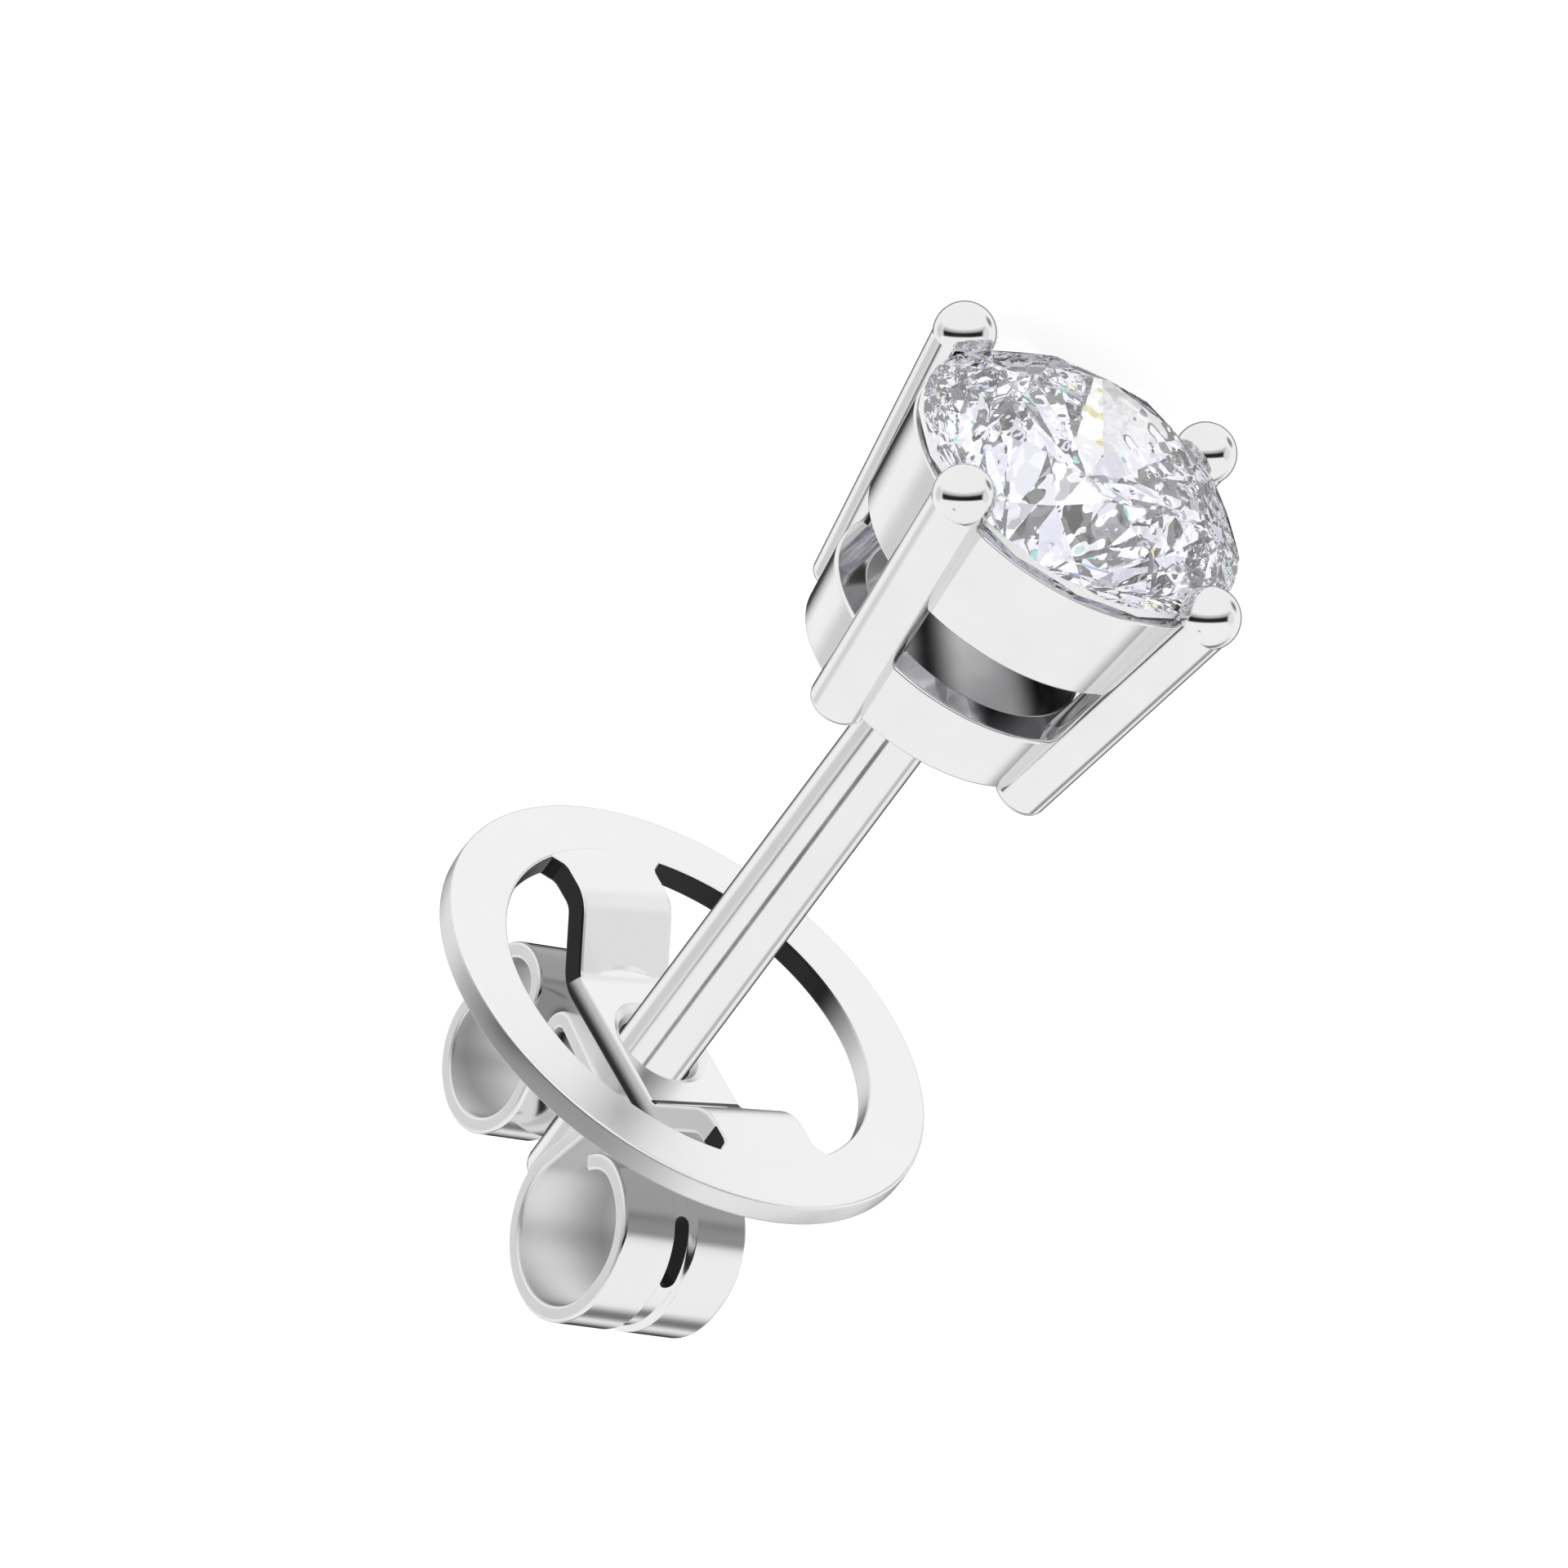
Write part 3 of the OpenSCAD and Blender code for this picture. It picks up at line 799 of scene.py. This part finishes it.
def rolled_strip(edge, groove_w, groove_depth):
    """Strip rolled into both scrolls, with its groove and its rounded ends.

    Its middle line is the smaller scroll's, mirrored and run backwards, and then the larger
    scroll's. The groove's depth along it is the full depth times both scrolls' shares.
    """
    large_path, small_path = scroll_path(*LARGE), scroll_path(*SMALL)
    large, large_headings = bent(large_path)
    small, small_headings = bent(small_path)
    line = np.concatenate([small[:0:-1] * (-1, 1), large]) + (0, PLATE)
    headings = np.concatenate([small_headings[:0:-1] * (1, -1), large_headings])
    line, headings, shrink, lean = round_ended(line, headings, edge)
    past = length_along(line) - length_along(small)[-1]
    groove = (groove_share(past, large_path) + groove_share(-past, small_path)) * groove_depth
    section = strip_section(STRIP_T, edge, groove_w)
    finish = np.where(section[:, 2] < 0, INNER, FACE)
    finish = np.where(np.abs(section[:, 5]) > FACING, CUT, finish)
    surface = swept(line, headings, section, STRIP_HALF_W, groove, shrink, lean)
    return solid("strip", surface, finish=finish)


def collared_hole():
    """Room cut in the strip, turned: as wide as the post, and wider from the collar's foot up."""
    collar_hole_r, below, above = COLLAR_R + 0.02, -3.6, -0.9
    profile = rounded(
        [
            (CORE_R, below), (POST_HOLE_R, below), (POST_HOLE_R, COLLAR_FOOT),
            (collar_hole_r, COLLAR_FOOT), (collar_hole_r, above), (CORE_R, above),
        ],
        [0, 0.01, 0.005, 0.005, 0.01, 0],
    )
    return solid("hole", turned(profile, 96), finish=CUT)


def on_shoulder(name, half_w, half_l, heights, insets, finish):
    """Round-ended block standing on the larger scroll's upper bend, for its slot and its pocket.

    Its outline, a rectangle with half-round ends, lies across the strip and along the bend. A
    point at distance s along it and height h over the strip's middle stands at the angle
    SLOT_AT + s / r and the distance r + h from the bend's centre, r being the bend's radius. Each
    height has an inset that draws the outline in.
    """
    out, _, top, r = LARGE[:4]
    centre = np.array([out - r, -top - STRIP_T - r + STRIP_T / 2])
    rows, row_normals = [], []
    for height, inset in zip(heights, insets):
        w, l = half_w - inset, half_l - inset
        outline, outward = rounded([(-w, -l), (w, -l), (w, l), (-w, l)], [w * 0.999] * 4, True, 8)
        angle = SLOT_AT + outline[:, 1] / r
        way = np.stack([np.cos(angle), np.sin(angle)], axis=1)
        place = centre + (r + height) * way
        rows.append(np.stack([place[:, 0], outline[:, 0], place[:, 1]], axis=1))
        row_normals.append(np.stack(
            [-way[:, 1] * outward[:, 1], outward[:, 0], way[:, 0] * outward[:, 1]], axis=1
        ))
    return solid(name, (np.array(rows), np.array(row_normals)), finish=finish)


def pocket_and_slot(half_l):
    """Pocket pressed in behind the larger scroll's slot, and the slot cut through the strip."""
    half_w, wall = 0.1, 0.09
    heights, insets = [-0.3, -0.3, -0.27, 0.0], [0.06, 0.02, 0, 0]
    pocket = on_shoulder("pocket", half_w + wall, half_l + wall, heights, insets, CUT)
    # The slot's walls take the black finish as painted shade
    slot = on_shoulder("slot", half_w, half_l, [-0.22, 0.3], [0, 0], RIM)
    return pocket, slot


class EARRING_OT_scrolls(bpy.types.Operator):
    """Makes the strip whose two ends are rolled into scrolls"""

    bl_idname = "earring.scrolls"
    bl_label = "Scrolls"

    def execute(self, context):
        wanted = context.scene.earring.scrolls
        finishes = [
            buffed_gold(wanted.outside, wanted.disc_shadow),
            rolled_gold(wanted.inside),
            sheared_gold(wanted.outside),
            shaded_slot_gold(),
        ]
        strip = rolled_strip(wanted.edge_r / MM, wanted.groove_w / MM, wanted.groove_depth / MM)
        pocket, slot = pocket_and_slot(wanted.slot_l / MM / 2)
        shape = joined("scrolls", strip, [pocket], [collared_hole(), slot])
        obj = finished(shape, finishes, BACK_TURN + SCROLL_TURN)
        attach(obj, "friction_back")
        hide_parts("butterfly_scrolls")
        obj.visible_glossy = False
        return {"FINISHED"}


def emptied(owner):
    """Node tree of a material or a world, without the nodes that it starts with."""
    owner.use_nodes = True
    owner.node_tree.nodes.clear()
    return owner.node_tree


def add(tree, kind, inputs=None, stops=None, **settings):
    """Adds a shader node and links or sets its inputs.

    An input is linked to a socket, or to the first output in use of a node, and takes any other
    value as its own. stops, for a ramp, are its positions with their hex colours.
    """
    node = tree.nodes.new("ShaderNode" + kind)
    for name, value in settings.items():
        setattr(node, name, value)
    for name, value in (inputs or {}).items():
        if isinstance(value, bpy.types.Node):
            value = next(socket for socket in value.outputs if socket.enabled)
        if isinstance(value, bpy.types.NodeSocket):
            tree.links.new(value, node.inputs[name])
        else:
            node.inputs[name].default_value = value
    if stops:
        elements = node.color_ramp.elements
        while len(elements) < len(stops):
            elements.new(0.5)
        for element, (position, code) in zip(elements, stops):
            element.position = position
            element.color = linear(code)
    return node


def post_place(tree, about=0.0):
    """Place in the post's own frame, in millimetres, turned about the post by degrees."""
    turned_by = Matrix.Rotation(math.radians(about), 3, "Z")
    return add(tree, "Mapping", {
        "Vector": add(tree, "TexCoord").outputs["Object"],
        "Location": Vector((REST_SHIFT, 0, REST_LIFT)) * MM,
        "Rotation": (Matrix(AT_REST.tolist()) @ turned_by).to_euler(),
        "Scale": (MM, MM, MM),
    }, vector_type="TEXTURE")


def metal(
    name, base, roughness, grain, scratch, depth, spread=0.05,
    about=0.0, streak=(1, 1, 1), other=None, change=((0, 0, 1), (0, 1)), middle=None,
):
    """Polished or worked metal whose gloss and surface both vary with one streaked grain.

    The roughness varies by spread both ways. grain is the size of its patches and scratch that of
    its fine marks, in millimetres; streak stretches the marks along the post's own directions,
    turned about it by about degrees. depth is how deep the marks are, in millimetres. With other,
    the colour goes over to it along a direction, between two distances in millimetres. With
    middle these are counted both ways from there, and start anew at every twice the greater one.
    """
    material = bpy.data.materials.new(name)
    tree = emptied(material)
    place = post_place(tree, about)
    if other is not None:
        direction, (start, stop) = change
        along = add(tree, "VectorMath", {
            0: place, 1: Vector(direction).normalized(),
        }, operation="DOT_PRODUCT")
        if middle is not None:
            along = add(tree, "Math", {0: along, 1: middle}, operation="SUBTRACT")
            along = add(tree, "Math", {0: along, 1: max(start, stop)}, operation="PINGPONG")
        past = add(tree, "MapRange", {
            "Value": along, "From Min": start, "From Max": stop,
        }, interpolation_type="SMOOTHSTEP")
        base = add(tree, "Mix", {0: past, 6: base, 7: other}, data_type="RGBA")
    stretched = [1 / stretch for stretch in streak]
    place = add(tree, "VectorMath", {0: place, 1: stretched}, operation="MULTIPLY")
    patches = add(tree, "TexNoise", {
        "Vector": place, "Scale": 1 / grain, "Detail": 3.0, "Roughness": 0.55,
    })
    marks = add(tree, "TexNoise", {
        "Vector": place, "Scale": 1 / scratch, "Detail": 2.0, "Roughness": 0.6,
    })
    both = add(tree, "Math", {0: marks, 1: 0.4, 2: patches}, operation="MULTIPLY_ADD")
    gloss = add(tree, "MapRange", {
        "Value": both, "From Min": 0.4, "From Max": 1.0,
        "To Min": roughness - spread, "To Max": roughness + spread,
    })
    tone = add(tree, "MapRange", {
        "Value": patches, "From Min": 0.3, "From Max": 0.7, "To Min": 0.965, "To Max": 1.0,
    })
    grey = add(tree, "CombineColor", {0: tone, 1: tone, 2: tone})
    shade = add(tree, "Mix", {0: 1.0, 6: base, 7: grey}, data_type="RGBA", blend_type="MULTIPLY")
    relief = add(tree, "Bump", {"Height": marks, "Strength": 1.0, "Distance": depth * MM})
    surface = add(tree, "BsdfPrincipled", {
        "Base Color": shade, "Metallic": 1.0, "Roughness": gloss, "Normal": relief,
    })
    add(tree, "OutputMaterial", {"Surface": surface})
    return material


def turned_gold(base, polish):
    """White gold, turned and buffed to a mirror: sharp reflections with the faintest haze."""
    return metal("white gold, mirror-buffed", base, roughness=polish, grain=0.6, scratch=0.09,
                 depth=0.00004, spread=0.025)


def cast_gold(base, painted_black):
    """White gold as it was cast and brushed, inside the basket: bright but blurred.

    Between the openings it is painted dark in bands: painted shade of the claws and bands.
    """
    # The dark colour goes on in bands as painted shade
    return metal("cast white gold, brushed, with painted shade", base, roughness=0.46, grain=0.35, scratch=0.06,
                 depth=0.0006, spread=0.06, other=painted_black, change=((0, 1, 0), (0.28, 0.78)),
                 middle=0.45)


def pressed_gold(base):
    """White gold sheet, pressed and tumbled: soft reflections over a slightly uneven flat."""
    return metal("white gold sheet, tumbled", base, roughness=0.33, grain=0.8, scratch=0.12,
                 depth=0.0001)


def punched_gold(place, torn_and_shaded, clean, change):
    """White gold sheet's punched edge: light where the punch cut cleanly, and dark, partly where it
    tore and partly as painted shade.

    Fine marks run along the punch's way. change says where the one goes over to the other.
    """
    return metal("white gold sheet, punched " + place, torn_and_shaded, roughness=0.3, grain=0.3,
                 scratch=0.05, depth=0.0004, streak=(1, 1, 6), other=clean, change=change)


def shaded_seat_gold(base):
    """White gold cut by the setting burr, with the haze of fine marks, and greyer than the outside
    as painted shade under the stone.
    """
    return metal("white gold, burred seat in painted shade", base, roughness=0.36, grain=0.3, scratch=0.06,
                 depth=0.0002)


def shaded_slot_gold():
    """White gold inside the slot, painted black as the shade in it."""
    # The slot is painted black as shade
    return metal("white gold, blackened slot", linear("#1A1A1A"), roughness=0.5, grain=0.3,
                 scratch=0.06, depth=0.0002)


def buffed_gold(base, disc_shadow):
    """White gold strip, rolled and buffed: bright, with faint lines along the strip's length.

    The part next to the disc is painted grey as the disc's shadow.
    """
    # other is the disc's painted shadow, grey on the strip within about 1.6 mm of the disc's face
    return metal("white gold strip, buffed, with the disc's painted shadow", base, roughness=0.13, grain=0.5, scratch=0.07,
                 depth=0.00008, spread=0.03, about=BACK_TURN + SCROLL_TURN, streak=(9, 1, 9),
                 other=disc_shadow, change=((0, 0, 1), (-1.66, -1.58)))


def rolled_gold(base):
    """White gold strip as the rolls left it, inside the scrolls: satin, lined along its length.

    It darkens from both its edges to the middle, as painted shade deep inside the scrolls.
    """
    across = (-math.sin(SCROLLS_AT), math.cos(SCROLLS_AT), 0)
    # other is painted shade, darkest across the middle of the strip's width
    return metal("white gold strip, as rolled", base, roughness=0.42, grain=0.4, scratch=0.06,
                 depth=0.0003, about=BACK_TURN + SCROLL_TURN, streak=(9, 1, 9),
                 other=linear("#969696"), change=(across, (0.85, -0.1)), middle=0.0)


def sheared_gold(base):
    """White gold strip's sheared and tumbled edge: light and soft, without clear reflections."""
    return metal("white gold strip, tumbled edge", base, roughness=0.36, grain=0.3,
                 scratch=0.05, depth=0.0003)


def shaded_rim_gold(base, shaded):
    """White gold sheet's tumbled rim: light and soft, with painted shade that greys a fifth of the
    way round.
    """
    # The rim is painted grey as shade on the side that faces this way
    shaded_at = math.radians(322)
    outwards = (math.cos(shaded_at), math.sin(shaded_at), 0)
    return metal("white gold sheet, rubbed rim", base, roughness=0.36, grain=0.3, scratch=0.05,
                 depth=0.0003, other=shaded, change=(outwards, (2.4, 3.1)))


def cut_diamond(tint, girdle):
    """Diamond, its facets polished and its girdle ground: clear, with a frosted white band.

    The girdle is where the distance from the stone's axis is all but the stone's radius. A swell
    of a few thousandths of a millimetre in each facet's shading breaks up what it mirrors.
    """
    material = bpy.data.materials.new("diamond, cut and polished")
    tree = emptied(material)
    place = post_place(tree)
    flat = add(tree, "VectorMath", {0: place, 1: (1, 1, 0)}, operation="MULTIPLY")
    reach = add(tree, "VectorMath", {0: flat}, operation="LENGTH")
    ground = add(tree, "MapRange", {
        "Value": reach, "From Min": STONE_R - 0.008, "From Max": STONE_R - 0.004,
    })
    grit = add(tree, "TexNoise", {"Vector": place, "Scale": 1 / 0.05, "Detail": 2.0})
    frost = add(tree, "Math", {0: ground, 1: grit}, operation="MULTIPLY")
    shade = add(tree, "Mix", {0: ground, 6: tint, 7: girdle}, data_type="RGBA")
    clear = add(tree, "MapRange", {"Value": ground, "To Min": 1.0, "To Max": 0.15})
    swell = add(tree, "TexNoise", {"Vector": place, "Scale": 1 / 0.4, "Detail": 1.0})
    relief = add(tree, "Bump", {"Height": swell, "Strength": 1.0, "Distance": 0.005 * MM})
    surface = add(tree, "BsdfPrincipled", {
        "Base Color": shade, "Roughness": frost, "IOR": 2.417,
        "Transmission Weight": clear, "Normal": relief,
    })
    add(tree, "OutputMaterial", {"Surface": surface})
    return material


class EARRING_OT_stone(bpy.types.Operator):
    """Gives the cut stone its clear facets and frosted girdle"""

    bl_idname = "earring.stone"
    bl_label = "Stone"

    def execute(self, context):
        wanted = context.scene.earring.stone
        stone = bpy.data.objects["diamond"]
        stone.data.materials.clear()
        stone.data.materials.append(cut_diamond(wanted.tint, wanted.girdle))
        return {"FINISHED"}


def card(tree, direction, value, middle, reach, soft, shade, across):
    """Lays a soft-edged card over the studio's light.

    middle points at it, reach is its half width and half height in degrees, the width lying along
    across, and soft is the share of the reach over which its edge fades.
    """
    middle = middle.normalized()
    width = (across - middle * across.dot(middle)).normalized()
    height = middle.cross(width)
    away = add(tree, "Mapping", {
        "Vector": direction,
        "Location": middle,
        "Rotation": Matrix((width, height, middle)).transposed().to_euler(),
        "Scale": (math.sin(math.radians(reach[0])), math.sin(math.radians(reach[1])), 1),
    }, vector_type="TEXTURE")
    near = add(tree, "MapRange", {
        "Value": add(tree, "VectorMath", {0: away}, operation="LENGTH"),
        "From Min": 1.0, "From Max": 1.0 - soft,
    }, interpolation_type="SMOOTHSTEP")
    return add(tree, "Mix", {0: near, 6: value, 7: linear(shade)}, data_type="RGBA")


def studio_light(flag):
    """Soft white studio: white all round, a dark flag across it, and grey cards at the sides."""
    world = bpy.data.worlds.new("soft studio")
    bpy.context.scene.world = world
    tree = emptied(world)
    direction = add(tree, "TexCoord").outputs["Generated"]
    over = add(tree, "VectorMath", {
        0: direction, 1: (DOWN * 0.98 - TOWARDS * 0.2).normalized(),
    }, operation="DOT_PRODUCT")
    height = add(tree, "MapRange", {"Value": over, "From Min": -1.0})
    dark = add(tree, "ValToRGB", {"Fac": height}, stops=[
        (0.3, "#000000"), (0.39, "#B8B8B8"), (0.445, "#FFFFFF"), (0.545, "#FFFFFF"),
        (0.57, "#404040"), (0.61, "#000000"),
    ])
    dark.color_ramp.interpolation = "EASE"
    ahead = add(tree, "VectorMath", {0: direction, 1: TOWARDS}, operation="DOT_PRODUCT")
    front = add(tree, "MapRange", {
        "Value": ahead, "From Min": 0.0, "From Max": 0.2,
    }, interpolation_type="SMOOTHSTEP")
    flagged = add(tree, "Math", {0: front, 1: dark}, operation="MULTIPLY")
    value = add(tree, "Mix", {0: flagged, 6: linear("#FFFFFF"), 7: flag}, data_type="RGBA")
    # Two cards shade the flanks, one the bands' far side, one draws the outlines from behind, one
    # darkens the undersides, and the narrow one draws the line along the post
    cards = [
        (RIGHT * -0.97 - DOWN * 0.1 - TOWARDS * 0.22, (22, 22), 0.6, "#DCDCDC", DOWN),
        (RIGHT * 0.97 + DOWN * 0.05 + TOWARDS * 0.12, (20, 20), 0.5, "#ECECEC", DOWN),
        (RIGHT * 0.84 - DOWN * 0.4 - TOWARDS * 0.37, (16, 16), 0.7, "#8A8A8A", DOWN),
        (-TOWARDS, (46, 46), 0.6, "#3A3A3A", RIGHT),
        (DOWN * 0.8 - TOWARDS * 0.6, (60, 16), 0.8, "#7A7A7A", RIGHT),
        (POST_LINE, (7, 2.6), 0.35, "#6A6A6A", POST_LINE_ACROSS),
    ]
    for laid in cards:
        value = card(tree, direction, value, *laid)
    # Light that has come through the stone sees small patches, bright, dark and a few coloured
    cells = add(tree, "TexVoronoi", {"Vector": direction, "Scale": 13.0})
    pick = add(tree, "SeparateColor", {"Color": cells.outputs["Color"]})
    sparkle = add(tree, "ValToRGB", {"Fac": pick}, stops=[
        (0.0, "#FFFFFF"), (0.25, "#E4E3F2"), (0.42, "#B0B0B6"), (0.54, "#5C5C60"),
        (0.64, "#08080A"), (0.84, "#F6F6FF"), (0.97, "#7FD4C6"), (0.978, "#86A4F0"),
        (0.988, "#E8DC8A"), (0.991, "#FFFFFF"),
    ])
    sparkle.color_ramp.interpolation = "CONSTANT"
    rays = add(tree, "LightPath")
    seen = add(tree, "Mix", {
        0: rays.outputs["Is Transmission Ray"], 6: value, 7: sparkle,
    }, data_type="RGBA")
    lit = add(tree, "Background", {"Color": seen, "Strength": 1.08})
    plain = add(tree, "Background", {"Color": linear("#F2F2F2"), "Strength": 1.0})
    mixed = add(tree, "MixShader", {0: rays.outputs["Is Camera Ray"], 1: lit, 2: plain})
    add(tree, "OutputWorld", {"Surface": mixed})


def floor_sheet(tone, glow):
    """White acrylic sheet, lit from below: a square in the plane of height 0."""
    half = 2
    corners = [(-half, -half, 0), (half, -half, 0), (half, half, 0), (-half, half, 0)]
    mesh = bpy.data.meshes.new("floor")
    mesh.from_pydata(corners, [], [(0, 1, 2, 3)])
    obj = placed("floor", mesh)
    material = bpy.data.materials.new("white acrylic, lit from below")
    tree = emptied(material)
    surface = add(tree, "BsdfPrincipled", {
        "Base Color": tone, "Roughness": 0.6, "Specular IOR Level": 0.0,
        "Emission Color": linear("#FFFFFF"), "Emission Strength": glow,
    })
    add(tree, "OutputMaterial", {"Surface": surface})
    mesh.materials.append(material)
    obj.visible_glossy = False
    obj.visible_transmission = False


def camera():
    """Camera at the photograph's angle, with its right, down and towards directions as axes."""
    data = bpy.data.cameras.new("camera")
    data.sensor_width = 36
    data.lens = CAMERA_LENS
    data.clip_start = 0.01
    data.clip_end = 10
    obj = placed("camera", data)
    axes = Matrix((RIGHT, -DOWN, TOWARDS)).transposed().to_4x4()
    obj.matrix_world = Matrix.Translation(CAMERA * MM) @ axes
    bpy.context.scene.camera = obj


class EARRING_OT_stage(bpy.types.Operator):
    """Makes the floor, the soft white studio and the camera"""

    bl_idname = "earring.stage"
    bl_label = "Floor, Light and Camera"

    def execute(self, context):
        wanted = context.scene.earring.studio
        camera()
        studio_light(wanted.flag)
        floor_sheet(wanted.sheet, wanted.glow)
        context.scene.view_settings.view_transform = "Standard"
        # Light is mirrored many times inside the stone before it leaves
        context.scene.cycles.max_bounces = 24
        context.scene.cycles.glossy_bounces = 16
        context.scene.cycles.transmission_bounces = 16
        return {"FINISHED"}


PIECES = (
    (EARRING_OT_stage, "studio"),
    (EARRING_OT_stone, "stone"),
    (EARRING_OT_basket, "basket"),
    (EARRING_OT_back_disc, "back"),
    (EARRING_OT_scrolls, "scrolls"),
)


class EARRING_PT_sidebar(bpy.types.Panel):
    """Buttons that make each piece, with its sizes and colours"""

    bl_idname = "EARRING_PT_sidebar"
    bl_label = "Diamond Stud Earring"
    bl_space_type = "VIEW_3D"
    bl_region_type = "UI"
    bl_category = "Earring"

    def draw(self, context):
        for operator, group in PIECES:
            box = self.layout.box()
            box.operator(operator.bl_idname)
            wanted = getattr(context.scene.earring, group)
            for name in wanted.bl_rna.properties.keys():
                if name not in ("rna_type", "name"):
                    box.prop(wanted, name)


CLASSES = (
    EarringBasket, EarringBack, EarringScrolls, EarringStone, EarringStudio, EarringSettings,
    *(operator for operator, group in PIECES), EARRING_PT_sidebar,
)


def register():
    for cls in CLASSES:
        bpy.utils.register_class(cls)
    bpy.types.Scene.earring = bpy.props.PointerProperty(type=EarringSettings)


def unregister():
    del bpy.types.Scene.earring
    for cls in reversed(CLASSES):
        bpy.utils.unregister_class(cls)


def main():
    """Makes every piece in order."""
    register()
    bpy.ops.earring.stage()
    bpy.ops.earring.stone()
    bpy.ops.earring.basket()
    bpy.ops.earring.back_disc()
    bpy.ops.earring.scrolls()


if __name__ == "__main__":
    main()
